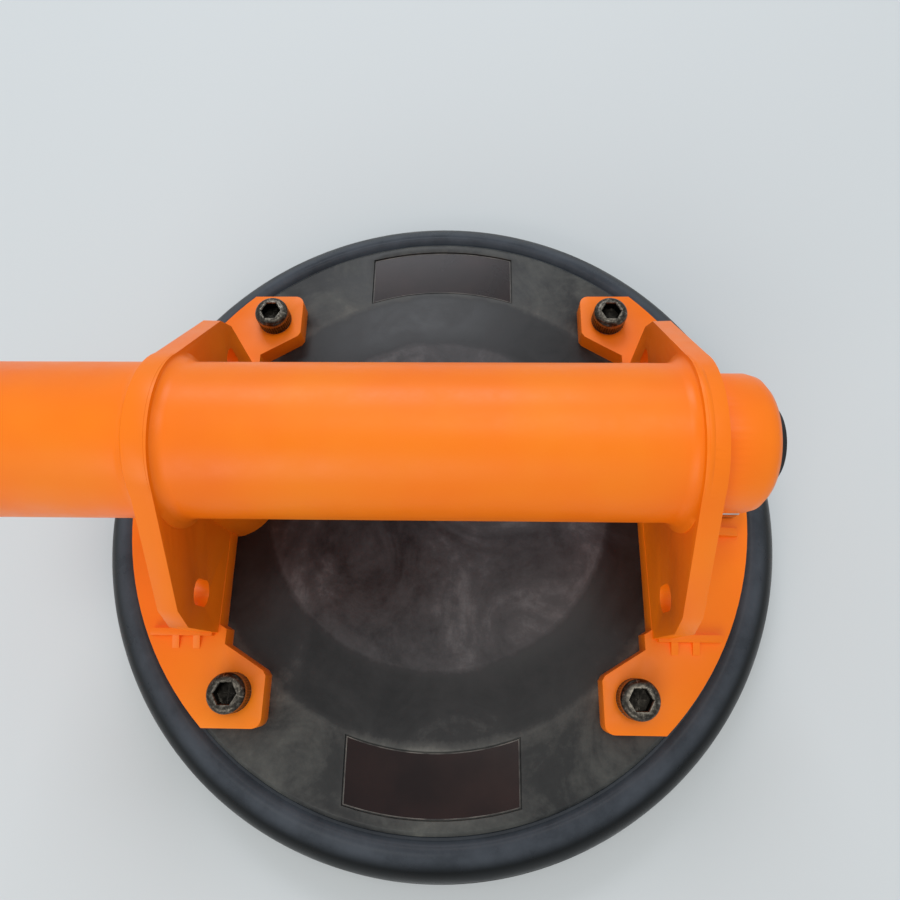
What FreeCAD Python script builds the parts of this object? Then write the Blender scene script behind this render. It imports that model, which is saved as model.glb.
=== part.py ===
import FreeCAD, Part
import math
import os
import Sketcher

os.makedirs("parts", exist_ok=True)
doc = FreeCAD.newDocument("tile_suction_lifter")
sheet = doc.addObject("Spreadsheet::Sheet", "dims")
V = FreeCAD.Vector

# ---- sizes, in millimetres and degrees -------------------------------------------------
SIZES = [
    # rubber pad
    ("pad_radius", 102.5), ("lip_outer_inset", 1.5), ("lip_inner_inset", 8.0),
    ("chamber_inset", 19.5), ("lip_edge_height", 1.0), ("lip_wall_height", 3.5),
    ("chamber_height", 7.0), ("skirt_width", 14.3), ("skirt_height", 7.0),
    ("crest_inset", 4.0), ("crest_height", 20.4), ("rim_top_height", 19.8),
    ("rim_draft", 0.3), ("pad_floor_height", 13.5), ("roof_rib_drop", 1.5),
    ("roof_rib_width", 2.0), ("roof_rib_radius", 60.0),
    # backing plate and nuts
    ("backing_inset", 2.2), ("backing_thickness", 2.5), ("nut_flats", 10.0),
    ("nut_height", 5.0), ("nut_pocket_gap", 0.35),
    # cover plate
    ("cover_gap", 0.8), ("cover_top", 22.3), ("cover_wall", 2.6), ("cover_edge", 1.2),
    ("dome_margin", 20.5), ("dome_slope", 16.8), ("dome_rise", 1.5), ("dome_gap", 0.4),
    ("cover_rib_width", 2.0), ("cover_hub_radius", 16.0), ("cover_hollow_margin", 6.0),
    ("cover_draft", 2.0), ("label_half_width", 22.7), ("label_inner_margin", 1.1),
    ("label_outer_margin", 3.6), ("label_recess", 0.7), ("label_thickness", 0.35),
    ("label_gap", 0.35),
    # four screws
    ("screw_inset", 11.03), ("screw_angle", 46.57), ("screw_thread_radius", 3.0),
    ("screw_clearance", 0.35), ("screw_head_radius", 5.0), ("screw_head_height", 6.0),
    ("screw_socket_flats", 5.0), ("screw_socket_depth", 3.0), ("screw_length", 20.0),
    ("screw_head_edge", 0.5), ("fit_clearance", 0.05),
    # feet of the handle moulding, laid out from the screws
    ("foot_height", 6.2), ("foot_margin", 1.6), ("foot_inner", 56.9), ("foot_step", 54.9),
    ("foot_land_end", 8.5), ("foot_land_side", 8.1), ("foot_land_inner", 5.0),
    ("foot_chamfer_run", 11.9), ("foot_corner_radius", 2.5), ("foot_corner_cut", 0.8),
    # arched webs that carry the grip
    ("axis_height", 68.8), ("web_tilt", 2.9), ("web_thickness", 4.4), ("web_inner", 57.0),
    ("web_root_depth", 3.9), ("web_end_gap", 14.7), ("web_knee_height", 50.5),
    ("web_ring_radius", 19.7), ("web_ring_angle", 52.0), ("web_shoulder_cut", 3.0),
    ("web_shoulder_height", 58.5), ("web_slot_inset", 8.6), ("web_slot_height", 45.0),
    ("web_slot_half_width", 3.2), ("web_slot_half_height", 6.0), ("web_slot_draft", 0.1),
    ("collar_reach", 3.0), ("collar_sink", 2.4), ("rib_sink", 1.0), ("end_rib_width", 1.8),
    ("end_rib_height", 1.9), ("end_rib_margin", 1.4), ("gusset_reach", 5.0),
    ("gusset_width", 1.8), ("gusset_near", 4.2), ("gusset_far", 6.6), ("gusset_edge", 0.3),
    ("side_gusset_along", 11.5), ("side_gusset_width", 2.2), ("side_gusset_height", 6.0),
    ("side_gusset_edge", 0.8), ("side_gusset_margin", 3.8), ("side_gusset_root", 2.0),
    ("side_gusset_flat", 3.0),
    # grip tube
    ("grip_radius", 17.5), ("bore_radius", 14.9), ("grip_left", 94.0), ("grip_right", 58.0),
    ("cap_seat_depth", 8.0), ("cap_seat_gap", 0.3),
    # air duct on the left web
    ("duct_centre", 56.0), ("duct_radius", 12.8), ("duct_across", 52.0), ("duct_bore", 1.5),
    ("duct_root", 2.0), ("duct_bow", 0.3), ("duct_headroom", 8.0),
    ("nipple_radius", 2.5), ("nipple_bore", 1.5), ("nipple_top", 31.0),
    ("nipple_flange_radius", 6.0), ("nipple_flange_height", 1.4), ("filter_thickness", 1.2),
    ("filter_radius", 4.0), ("ball_radius", 1.9), ("ball_chamber_radius", 2.3),
    ("ball_chamber_top", 37.0),
    # release valve in the right end cap
    ("cap_radius", 15.3), ("cap_end", 71.8), ("cap_rounding", 4.0), ("cap_spigot", 51.0),
    ("cap_recess_radius", 3.3), ("cap_floor", 2.0), ("round_bow", 0.207),
    ("spigot_gap", 0.05), ("cap_bore_start", 57.0), ("cap_chamber_radius", 5.0),
    ("valve_seat", 65.0), ("button_recess_start", 67.8), ("button_radius", 8.6),
    ("button_gap", 0.4), ("travel_margin", 0.3), ("button_wall", 4.3), ("button_crown", 2.2),
    ("button_bow", 0.063), ("button_socket", 2.0),
    ("stem_radius", 1.5), ("stem_tail_radius", 1.0), ("stem_tail_end", 60.5),
    ("stem_shoulder_radius", 2.4), ("stem_seal_radius", 3.2), ("stem_seal_thickness", 1.3),
    ("stem_shoulder_thickness", 1.0), ("release_travel", 2.0), ("spring_wire", 0.35),
    ("spring_radius", 1.75), ("spring_pitch", 1.3), ("seal_ring_radius", 13.7),
    ("seal_cord_radius", 1.1), ("seal_across", 54.5), ("seal_groove_gap", 0.15),
    # vent pipe
    ("pipe_inset", 6.8), ("pipe_along", 3.0), ("pipe_radius", 1.6), ("pipe_bore", 1.0),
    ("pipe_low_bend", 38.5), ("pipe_high_bend", 48.5), ("pipe_top_across", 63.0),
    ("pipe_bend_radius", 6.0), ("pipe_nut_flats", 9.0), ("pipe_nut_height", 4.5),
    # left end cap
    ("end_cap_end", 99.5), ("end_cap_ring", 1.6), ("end_cap_wall", 2.4),
    ("end_cap_rounding", 2.5), ("power_radius", 5.0), ("power_rise", 4.0), ("power_end", 101.3),
    ("power_gap", 0.35), ("power_flange_radius", 6.2), ("power_flange", 1.0),
    ("power_travel", 1.0), ("port_drop", 8.6), ("port_half_width", 4.7),
    ("port_half_height", 1.8), ("window_rise", 12.6), ("window_half_width", 4.5),
    ("window_half_height", 1.3), ("window_thickness", 1.6), ("flap_half_width", 6.4),
    ("flap_half_height", 3.3), ("flap_thickness", 1.2), ("flap_gap", 0.35),
    ("flap_depth", 1.4), ("flap_pin_radius", 0.4), ("flap_pin_length", 0.8),
    # circuit board
    ("board_face", 86.0), ("board_thickness", 1.6), ("board_radius", 14.2),
    ("switch_half", 3.0), ("switch_depth", 4.0), ("socket_depth", 9.6),
    ("chip_half", 4.0), ("chip_height", 1.2), ("sensor_half", 3.5), ("sensor_height", 4.0),
    # chassis
    ("chassis_radius", 14.8), ("chassis_inner", 13.4), ("chassis_left", 80.0),
    ("chassis_right", 50.4), ("chassis_rib", 1.6), ("chassis_hole", 4.0),
    # pump and motor
    ("pump_left", 46.0), ("pump_length", 22.0), ("pump_radius", 12.9), ("pump_cavity", 9.5),
    ("pump_cavity_left", 37.0), ("pump_inlet_drop", 8.0), ("pump_inlet_length", 3.2),
    ("pump_inlet_radius", 1.45), ("pump_inlet_bore", 0.8), ("diaphragm_thickness", 1.5),
    ("yoke_radius", 6.0), ("yoke_thickness", 2.5), ("crank_radius", 4.2), ("crank_length", 4.5),
    ("crank_left", 31.5), ("crank_pin_radius", 1.1), ("crank_pin_length", 1.6),
    ("crank_throw", 1.6), ("motor_left", 23.6), ("motor_length", 30.8), ("motor_radius", 12.2),
    ("motor_wall", 1.0), ("motor_boss_radius", 4.0), ("motor_boss_length", 1.6),
    ("magnet_thickness", 2.4), ("magnet_end_gap", 3.0), ("armature_radius", 8.0),
    ("armature_end_gap", 5.0), ("armature_slot", 1.8), ("shaft_radius", 1.0),
    # cell
    ("cell_left", 13.6), ("cell_length", 35.0), ("cell_radius", 9.1), ("cell_cap_radius", 3.0),
    ("cell_cap", 0.8), ("contact_radius", 6.5), ("contact_thickness", 0.5),
    ("contact_bump", 2.4),
    # moulded elbow between duct and pump
    ("elbow_radius", 2.5), ("elbow_bore", 1.5), ("elbow_foot", 50.6), ("elbow_bend", 3.2),
]


class Size:
    """A number together with the sheet formula that it comes from."""

    def __init__(self, value, formula):
        self.value = value
        self.formula = formula

    def _join(self, other, sign, result):
        right = other.formula if isinstance(other, Size) else repr(float(other))
        return Size(result, "(%s %s %s)" % (self.formula, sign, right))

    def __add__(self, other):
        return self._join(other, "+", self.value + number(other))

    def __sub__(self, other):
        return self._join(other, "-", self.value - number(other))

    def __mul__(self, other):
        return self._join(other, "*", self.value * number(other))

    def __truediv__(self, other):
        return self._join(other, "/", self.value / number(other))

    def __neg__(self):
        return Size(-self.value, "(0 - %s)" % self.formula)


def number(item):
    return item.value if isinstance(item, Size) else float(item)


def formula(item):
    return item.formula if isinstance(item, Size) else repr(float(item))


class Sizes:
    pass


d = Sizes()
for row, (name, value) in enumerate(SIZES, start=1):
    sheet.set("A%d" % row, name)
    sheet.set("B%d" % row, str(value))
    sheet.setAlias("B%d" % row, name)
    setattr(d, name, Size(value, "dims." + name))
doc.recompute()

ZERO = Size(0.0, "0")


def across(radius, offset):
    """Half chord of a circle at an offset from its centre."""
    return Size(math.sqrt(number(radius) ** 2 - number(offset) ** 2),
                "sqrt(pow(%s; 2) - pow(%s; 2))" % (formula(radius), formula(offset)))


def share(length, part, angle):
    """The sin, cos or tan part of a length at an angle."""
    return Size(number(length) * getattr(math, part)(math.radians(number(angle))),
                "(%s * %s(%s * 1 deg))" % (formula(length), part, formula(angle)))


foot_top = d.cover_top + d.foot_height
backing_top = d.pad_floor_height + d.backing_thickness
dome_top = d.cover_top + d.dome_rise
pad_rim_radius = d.pad_radius - d.skirt_width
cover_radius = pad_rim_radius - d.cover_gap
dome_foot_radius = cover_radius - d.dome_margin
dome_top_radius = dome_foot_radius - d.dome_slope
foot_arc_radius = cover_radius - d.foot_margin
screw_ring = foot_arc_radius - d.screw_inset
screw_across = share(screw_ring, "cos", d.screw_angle)
screw_along = share(screw_ring, "sin", d.screw_angle)
web_half_width = screw_along - d.web_end_gap
pipe_across = foot_arc_radius - d.pipe_inset


def bind(obj, prop, item):
    if isinstance(item, Size):
        obj.setExpression(prop, item.formula)
    else:
        obj.setExpression(prop, repr(float(item)))


def new_body(label):
    body = doc.addObject("PartDesign::Body", label)
    body.Label = label
    return body


def new_sketch(body, plane, shift=None, tilt=None):
    """A sketch on one of the body's own planes; shift moves it along its three axes."""
    sketch = body.newObject("Sketcher::SketchObject", body.Label + "_sketch")
    flat = [f for f in body.Origin.OriginFeatures if f.Role == plane + "_Plane"][0]
    sketch.AttachmentSupport = [(flat, "")]
    sketch.MapMode = "FlatFace"
    for axis, item in zip("xyz", shift or ()):
        bind(sketch, "AttachmentOffset.Base." + axis, item)
    if tilt is not None:
        sketch.AttachmentOffset = FreeCAD.Placement(V(0, 0, 0), FreeCAD.Rotation(V(1, 0, 0), 1))
        bind(sketch, "AttachmentOffset.Rotation.Angle", tilt)
        for axis, item in zip("xyz", shift or ()):
            bind(sketch, "AttachmentOffset.Base." + axis, item)
    return sketch


def arc_between(start, end, radius):
    """Arc of the given radius from start to end; a negative radius bulges the other way."""
    r = abs(radius)
    mid = (start + end) * 0.5
    chord = end - start
    half = chord.Length / 2
    normal = V(-chord.y, chord.x, 0).normalize()
    rise = math.sqrt(max(r * r - half * half, 0.0))
    centre = mid + normal * (rise if radius > 0 else -rise)
    a0 = math.atan2(start.y - centre.y, start.x - centre.x)
    a1 = math.atan2(end.y - centre.y, end.x - centre.x)
    circle = Part.Circle(centre, V(0, 0, 1), r)
    if radius > 0:
        return Part.ArcOfCircle(circle, a0, a1), 1, 2
    return Part.ArcOfCircle(circle, a1, a0), 2, 1


def outline(sketch, corners):
    """Closed outline through corners (x, y) or (x, y, radius of the arc to the next)."""
    first = len(sketch.Geometry)
    count = len(corners)
    spots = [V(number(c[0]), number(c[1]), 0) for c in corners]
    ends = []
    for i, corner in enumerate(corners):
        a, b = spots[i], spots[(i + 1) % count]
        if len(corner) == 3:
            arc, s, e = arc_between(a, b, number(corner[2]))
            sketch.addGeometry(arc, False)
            ends.append((s, e))
        else:
            sketch.addGeometry(Part.LineSegment(a, b), False)
            ends.append((1, 2))
    for i in range(count):
        j = (i + 1) % count
        sketch.addConstraint(Sketcher.Constraint(
            "Coincident", first + i, ends[i][1], first + j, ends[j][0]))
    for i, corner in enumerate(corners):
        for kind, item, at in (("DistanceX", corner[0], spots[i].x),
                               ("DistanceY", corner[1], spots[i].y)):
            k = sketch.addConstraint(Sketcher.Constraint(
                kind, -1, 1, first + i, ends[i][0], at))
            sketch.setExpression("Constraints[%d]" % k, formula(item))
        if len(corner) == 3:
            k = sketch.addConstraint(Sketcher.Constraint(
                "Radius", first + i, abs(number(corner[2]))))
            size = corner[2] if number(corner[2]) > 0 else -corner[2]
            sketch.setExpression("Constraints[%d]" % k, formula(size))


def bowed(start, end, bow, steps):
    """Points from start up to end along a line bowed out by a share of its length."""
    points = []
    for step in range(steps):
        t = step / steps
        lift = 4 * t * (1 - t)
        run = [b - a if isinstance(b, Size) else -(a - b) for a, b in zip(start, end)]
        points.append((start[0] + run[0] * t - run[1] * bow * lift,
                       start[1] + run[1] * t + run[0] * bow * lift))
    return points


def ring(sketch, x, y, radius):
    k = sketch.addGeometry(Part.Circle(V(number(x), number(y), 0), V(0, 0, 1), number(radius)))
    for kind, item in (("DistanceX", x), ("DistanceY", y)):
        c = sketch.addConstraint(Sketcher.Constraint(kind, -1, 1, k, 3, number(item)))
        sketch.setExpression("Constraints[%d]" % c, formula(item))
    c = sketch.addConstraint(Sketcher.Constraint("Radius", k, number(radius)))
    sketch.setExpression("Constraints[%d]" % c, formula(radius))


def box_outline(sketch, x0, x1, y0, y1):
    outline(sketch, [(x0, y0), (x1, y0), (x1, y1), (x0, y1)])


def hexagon(sketch, x, y, flats):
    apothem = flats / 2
    far = flats * (1 / math.sqrt(3))
    near = far / 2
    outline(sketch, [(x + far, y), (x + near, y + apothem), (x - near, y + apothem),
                     (x - far, y), (x - near, y - apothem), (x + near, y - apothem)])


def feature(body, kind, sketch, label, length=None, through=False, reverse=False,
            axis=None, angle=None, midplane=False):
    item = body.newObject("PartDesign::" + kind, label)
    item.Profile = sketch
    if axis:
        item.ReferenceAxis = (sketch, [axis])
        item.Angle = 360.0
        if angle is not None:
            item.Midplane = midplane
            bind(item, "Angle", angle)
    elif through:
        item.Type = "ThroughAll"
        item.Midplane = midplane
    else:
        bind(item, "Length", length)
        item.Midplane = midplane
    item.Reversed = reverse
    sketch.Visibility = False
    body.Tip = item
    return item


def turned(label, corners, axis="V_Axis", plane="XZ", shift=None, angle=None):
    """A body turned about the upright axis, or about the grip axis with H_Axis."""
    body = new_body(label)
    sketch = new_sketch(body, plane, shift)
    outline(sketch, corners)
    feature(body, "Revolution", sketch, label + "_turn", axis=axis, angle=angle,
            midplane=angle is not None)
    return body


AXIS_SHIFT = (0, d.axis_height, 0)


def grip_turned(label, corners, angle=None):
    """corners are (x along the grip, distance from the grip axis)."""
    return turned(label, corners, "H_Axis", "XZ", AXIS_SHIFT, angle)


def cut_holes(body, spots, radius, low, high, label):
    """Upright round holes from height low to height high."""
    sketch = new_sketch(body, "XY", (0, 0, low))
    for x, y in spots:
        ring(sketch, x, y, radius)
    feature(body, "Pocket", sketch, label, length=high - low, reverse=True)


def pad_from(body, plane, shift, draw, label, length, midplane=False, kind="Pad", reverse=False):
    sketch = new_sketch(body, plane, shift)
    draw(sketch)
    feature(body, kind, sketch, label, length=length, midplane=midplane, reverse=reverse)


screw_spots = [(s * 1.0, t * 1.0) for s in (-1, 1) for t in (-1, 1)]
screw_at = [(screw_across * s, screw_along * t) for s, t in screw_spots]
duct_at = (-d.duct_across, ZERO)
pipe_at = (pipe_across, -d.pipe_along)

# ---- rubber pad --------------------------------------------------------------------------
rib_low = d.chamber_height - d.roof_rib_drop
rib_far = d.roof_rib_radius + d.roof_rib_width
skirt_foot = (d.pad_radius - d.lip_outer_inset, d.skirt_height)
crest = (pad_rim_radius + d.crest_inset, d.crest_height)
rim_top = (pad_rim_radius + d.rim_draft, d.rim_top_height)
pad = turned("suction_pad", [
    (ZERO, d.chamber_height), (d.roof_rib_radius, d.chamber_height),
    (d.roof_rib_radius, rib_low), (rib_far, rib_low), (rib_far, d.chamber_height),
    (d.pad_radius - d.chamber_inset, d.chamber_height), (d.pad_radius - d.lip_inner_inset, ZERO),
    (d.pad_radius - d.lip_outer_inset, ZERO), (d.pad_radius, d.lip_edge_height),
    (d.pad_radius, d.lip_wall_height)]
    + bowed(skirt_foot, crest, -0.1, 4) + bowed(crest, rim_top, -0.21, 3)
    + [rim_top, (pad_rim_radius, d.pad_floor_height), (ZERO, d.pad_floor_height)])
cut_holes(pad, [duct_at], d.nipple_radius + d.fit_clearance, ZERO, backing_top, "duct_hole")
cut_holes(pad, [duct_at], d.nipple_flange_radius + d.screw_clearance, ZERO,
          d.chamber_height + d.nipple_flange_height, "nipple_seat")
cut_holes(pad, [pipe_at], d.pipe_radius + d.fit_clearance, ZERO, backing_top, "pipe_hole")
cut_holes(pad, screw_at, d.nut_flats * (1 / math.sqrt(3)) + d.nut_pocket_gap,
          d.pad_floor_height - d.nut_height, d.pad_floor_height + 1, "nut_pockets")

# ---- steel backing plate and its nuts ----------------------------------------------------
backing = turned("backing_plate", [
    (ZERO, d.pad_floor_height), (pad_rim_radius - d.backing_inset, d.pad_floor_height),
    (pad_rim_radius - d.backing_inset, backing_top), (ZERO, backing_top)])
cut_holes(backing, screw_at, d.screw_thread_radius + d.screw_clearance, ZERO, d.cover_top,
          "screw_holes")
cut_holes(backing, [duct_at], d.nipple_radius + d.fit_clearance, ZERO, d.cover_top, "duct_hole")
cut_holes(backing, [pipe_at], d.pipe_radius + d.fit_clearance, ZERO, d.cover_top, "pipe_hole")


def cluster(label, makers):
    """One node of separate like solids, each a body of its own."""
    group = doc.addObject("Part::Compound", label)
    group.Label = label
    group.Links = makers
    return group


nuts = []
for i, (x, y) in enumerate(screw_at):
    nut = new_body("nut_%d" % i)
    sketch = new_sketch(nut, "XY", (0, 0, d.pad_floor_height - d.nut_height))
    hexagon(sketch, x, y, d.nut_flats)
    ring(sketch, x, y, d.screw_thread_radius + d.fit_clearance)
    feature(nut, "Pad", sketch, "nut_pad_%d" % i, length=d.nut_height)
    nuts.append(nut)
weld_nuts = cluster("weld_nuts", nuts)

# ---- black cover plate -------------------------------------------------------------------
cover_floor = d.cover_top - d.cover_wall
hollow_radius = dome_top_radius - d.cover_hollow_margin
cover = turned("cover_plate", [
    (0, backing_top), (d.cover_hub_radius, backing_top), (d.cover_hub_radius, cover_floor),
    (hollow_radius - d.cover_draft, cover_floor), (hollow_radius, backing_top),
    (cover_radius, backing_top), (cover_radius, d.cover_top - d.cover_edge),
    (cover_radius - d.cover_edge, d.cover_top), (dome_foot_radius, d.cover_top),
    (dome_top_radius, dome_top), (0, dome_top)])
for turn in range(4):
    rib = new_sketch(cover, "XY", (0, 0, backing_top))
    c, s = math.cos(turn * math.pi / 4), math.sin(turn * math.pi / 4)
    run, half = hollow_radius, d.cover_rib_width / 2
    outline(rib, [(run * c - half * s, run * s + half * c), (-(run * c) - half * s, -(run * s) + half * c),
                  (-(run * c) + half * s, -(run * s) - half * c), (run * c + half * s, run * s - half * c)])
    feature(cover, "Pad", rib, "under_rib_%d" % turn, length=d.cover_top - backing_top)
cut_holes(cover, screw_at, d.screw_thread_radius + d.screw_clearance, ZERO, dome_top + 1,
          "screw_holes")
cut_holes(cover, [duct_at], d.nipple_radius + d.fit_clearance, ZERO, dome_top + 1, "duct_hole")
cut_holes(cover, [pipe_at], d.pipe_radius + d.fit_clearance, ZERO, dome_top + 1, "pipe_hole")


def label_shape(sketch, side, gap):
    """Label field: straight ends, curved long edges about the plate's centre."""
    half = d.label_half_width - gap
    inner = dome_foot_radius + d.label_inner_margin + gap
    outer = cover_radius - d.label_outer_margin - gap
    low, high = across(inner, half), across(outer, half)
    if side > 0:
        outline(sketch, [(-half, low, -inner), (half, low), (half, high, outer), (-half, high)])
    else:
        outline(sketch, [(-half, -low, inner), (half, -low), (half, -high, -outer), (-half, -high)])


for side, name in ((-1, "front"), (1, "rear")):
    field = new_sketch(cover, "XY", (0, 0, d.cover_top - d.label_recess))
    label_shape(field, side, ZERO)
    feature(cover, "Pocket", field, name + "_label_recess", length=d.label_recess + 1,
            reverse=True)
for side, name in ((-1, "front"), (1, "rear")):
    plate = new_body("label_" + name)
    field = new_sketch(plate, "XY", (0, 0, d.cover_top - d.label_recess))
    label_shape(field, side, d.label_gap)
    feature(plate, "Pad", field, name + "_label_pad", length=d.label_thickness)

# ---- four socket screws ------------------------------------------------------------------
screws = []
for i, (x, y) in enumerate(screw_at):
    screw = new_body("screw_%d" % i)
    sketch = new_sketch(screw, "XY", (0, 0, foot_top - d.screw_length))
    ring(sketch, x, y, d.screw_thread_radius)
    feature(screw, "Pad", sketch, "shank_%d" % i, length=d.screw_length + 1)
    sketch = new_sketch(screw, "XY", (0, 0, foot_top))
    ring(sketch, x, y, d.screw_head_radius)
    head = feature(screw, "Pad", sketch, "head_%d" % i, length=d.screw_head_height)
    doc.recompute()
    rim = [k + 1 for k, e in enumerate(head.Shape.Edges)
           if abs(e.CenterOfMass.z - number(foot_top + d.screw_head_height)) < 0.01]
    edge = screw.newObject("PartDesign::Chamfer", "head_edge_%d" % i)
    edge.Base = (head, ["Edge%d" % k for k in rim])
    bind(edge, "Size", d.screw_head_edge)
    screw.Tip = edge
    sketch = new_sketch(screw, "XY",
                        (0, 0, foot_top + d.screw_head_height - d.screw_socket_depth))
    hexagon(sketch, x, y, d.screw_socket_flats)
    feature(screw, "Pocket", sketch, "socket_%d" % i, length=d.screw_socket_depth + 1,
            reverse=True)
    screws.append(screw)
frame_screws = cluster("frame_screws", screws)

# ---- handle moulding: feet, webs, grip tube and air duct in one piece -------------------
frame = new_body("handle_frame")


def foot_outline(sketch, side):
    """Foot plate on one side: inner edge, two screw pads and the outer arc."""
    s, r = side, d.foot_corner_radius
    end_along = screw_along + d.foot_land_end
    corner_across = screw_across - d.foot_land_side
    corner_along = screw_along - d.foot_land_inner
    step_along = web_half_width - d.rib_sink
    end_x = across(foot_arc_radius, end_along)
    cut = d.foot_corner_cut
    half = [(d.foot_inner, step_along - d.foot_margin * 0.75), (d.foot_step, step_along),
            (d.foot_step, screw_along - d.foot_chamfer_run),
            (corner_across + cut, corner_along - cut * 0.6), (corner_across, corner_along + cut),
            (corner_across, end_along - r, "corner"), (corner_across + r, end_along),
            (end_x, end_along)]
    front = [(p[0] * s, -p[1]) + tuple(p[2:]) for p in half]
    back = [(p[0] * s, p[1] * 1.0) for p in half][::-1]
    points = []
    for p in front:
        points.append((p[0], p[1], r if s > 0 else -r) if len(p) == 3 else p)
    points[-1] = (points[-1][0], points[-1][1],
                  foot_arc_radius if s > 0 else -foot_arc_radius)
    k = 0
    for p in back:
        points.append((p[0], p[1], r if s > 0 else -r) if k == 1 else p)
        k += 1
    outline(sketch, points)


for side, name in ((1, "right"), (-1, "left")):
    sketch = new_sketch(frame, "XY", (0, 0, d.cover_top))
    foot_outline(sketch, side)
    feature(frame, "Pad", sketch, name + "_foot", length=d.foot_height)

# webs lean inwards towards the grip
web_base = d.web_inner + share(foot_top, "tan", d.web_tilt)
shoulder_along = web_half_width - d.web_shoulder_cut


def web_outline(sketch):
    """Arch that rises from the foot and rounds over the grip."""
    root = foot_top - d.web_root_depth
    reach_y = share(d.web_ring_radius, "sin", d.web_ring_angle)
    reach_z = d.axis_height + share(d.web_ring_radius, "cos", d.web_ring_angle)
    outline(sketch, [
        (-web_half_width, root), (web_half_width, root),
        (web_half_width, d.web_knee_height), (shoulder_along, d.web_shoulder_height),
        (reach_y, reach_z, d.web_ring_radius), (-reach_y, reach_z),
        (-shoulder_along, d.web_shoulder_height), (-web_half_width, d.web_knee_height)])


def web_slot(sketch, way):
    """Tall slot with rounded ends near one edge of a web."""
    middle = (web_half_width - d.web_slot_inset) * way
    half, bow = d.web_slot_half_width, d.web_slot_half_width + d.web_slot_draft
    low = d.web_slot_height - d.web_slot_half_height + half
    high = d.web_slot_height + d.web_slot_half_height - half
    outline(sketch, [(middle - half, low, bow), (middle + half, low),
                     (middle + half, high, bow), (middle - half, high)])


for side, name in ((1, "right"), (-1, "left")):
    shift = (0, 0, web_base * side)
    sketch = new_sketch(frame, "YZ", shift, tilt=-d.web_tilt * side)
    web_outline(sketch)
    feature(frame, "Pad", sketch, name + "_web", length=d.web_thickness, reverse=side < 0)

for side, name in ((1, "right"), (-1, "left")):
    for way in (1, -1):
        sketch = new_sketch(frame, "YZ", (0, 0, d.web_inner * side))
        web_slot(sketch, way)
        feature(frame, "Pocket", sketch, name + "_web_slot", length=d.web_thickness * 4,
                midplane=True)

# air duct: half-round column on the inner face of the left web
sketch = new_sketch(frame, "XY", (0, 0, d.cover_top + d.rib_sink))
duct_back = -(d.duct_centre + d.duct_root)
outline(sketch, [(duct_back, -d.duct_radius),
                 (-d.duct_centre, -d.duct_radius, d.duct_radius + d.duct_bow),
                 (-d.duct_centre, d.duct_radius * 1.0), (duct_back, d.duct_radius * 1.0)])
feature(frame, "Pad", sketch, "air_duct", length=d.axis_height - d.cover_top - d.duct_headroom)

# grip tube, with a small fillet where it runs into each web
collar_end = d.web_inner - d.collar_sink
collar_back = collar_end + d.web_thickness
sketch = new_sketch(frame, "XZ", AXIS_SHIFT)
right_fillet = bowed((collar_end, d.web_ring_radius),
                     (collar_end - d.collar_reach, d.grip_radius), 0.2, 3)
left_fillet = bowed((-(collar_end - d.collar_reach), d.grip_radius),
                    (-collar_end, d.web_ring_radius), 0.2, 3)
outer_fillet = bowed((-collar_back, d.web_ring_radius),
                     (-(collar_back + d.collar_reach), d.grip_radius), 0.2, 3)
outline(sketch, [(-d.grip_left, 0), (d.grip_right, 0), (d.grip_right, d.grip_radius),
                 (collar_end + d.rib_sink, d.web_ring_radius)]
        + right_fillet + [(collar_end - d.collar_reach, d.grip_radius)]
        + left_fillet + [(-collar_end, d.web_ring_radius)]
        + outer_fillet + [(-(collar_back + d.collar_reach), d.grip_radius),
                          (-d.grip_left, d.grip_radius)])
feature(frame, "Revolution", sketch, "grip", axis="H_Axis")

# low rib across each end of a web, with its small gussets
rib_near = d.web_inner + d.rib_sink
rib_start = web_half_width - d.rib_sink
rib_end = rib_start + d.end_rib_width
rib_far_end = across(foot_arc_radius, rib_end) - d.end_rib_margin
rib_top = foot_top + d.end_rib_height
side_near = d.web_inner + d.side_gusset_root
side_far = foot_arc_radius - d.side_gusset_margin
for side in (1, -1):
    for way in (1, -1):
        sketch = new_sketch(frame, "XY", (0, 0, foot_top - d.rib_sink))
        box_outline(sketch, rib_near * side, rib_far_end * side, rib_start * way, rib_end * way)
        feature(frame, "Pad", sketch, "end_rib", length=d.end_rib_height + d.rib_sink)
        for place in (rib_near + d.gusset_near, rib_far_end - d.gusset_far):
            sketch = new_sketch(frame, "YZ", (0, 0, place * side))
            outline(sketch, [
                (rib_start * way, foot_top - d.rib_sink),
                ((rib_start + d.gusset_reach) * way, foot_top - d.rib_sink),
                ((rib_start + d.gusset_reach) * way, foot_top + d.gusset_edge),
                (rib_start * way, rib_top)])
            feature(frame, "Pad", sketch, "gusset", length=d.gusset_width, midplane=True)
        sketch = new_sketch(frame, "XZ", (0, 0, d.side_gusset_along * way))
        outline(sketch, [
            (side_near * side, foot_top - d.rib_sink), (side_far * side, foot_top - d.rib_sink),
            (side_far * side, foot_top + d.side_gusset_edge),
            ((side_near + d.side_gusset_flat) * side, foot_top + d.side_gusset_height),
            (side_near * side, foot_top + d.side_gusset_height)])
        feature(frame, "Pad", sketch, "side_gusset", length=d.side_gusset_width, midplane=True)

# bore of the grip
sketch = new_sketch(frame, "YZ", (0, 0, -d.grip_left - 1))
ring(sketch, 0, d.axis_height, d.bore_radius)
feature(frame, "Pocket", sketch, "grip_bore", length=d.grip_left + d.grip_right + 6, reverse=True)
sketch = new_sketch(frame, "YZ", (0, 0, d.grip_right))
ring(sketch, 0, d.axis_height, d.cap_radius + d.cap_seat_gap)
feature(frame, "Pocket", sketch, "cap_seat", length=d.cap_seat_depth, reverse=True)
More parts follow.
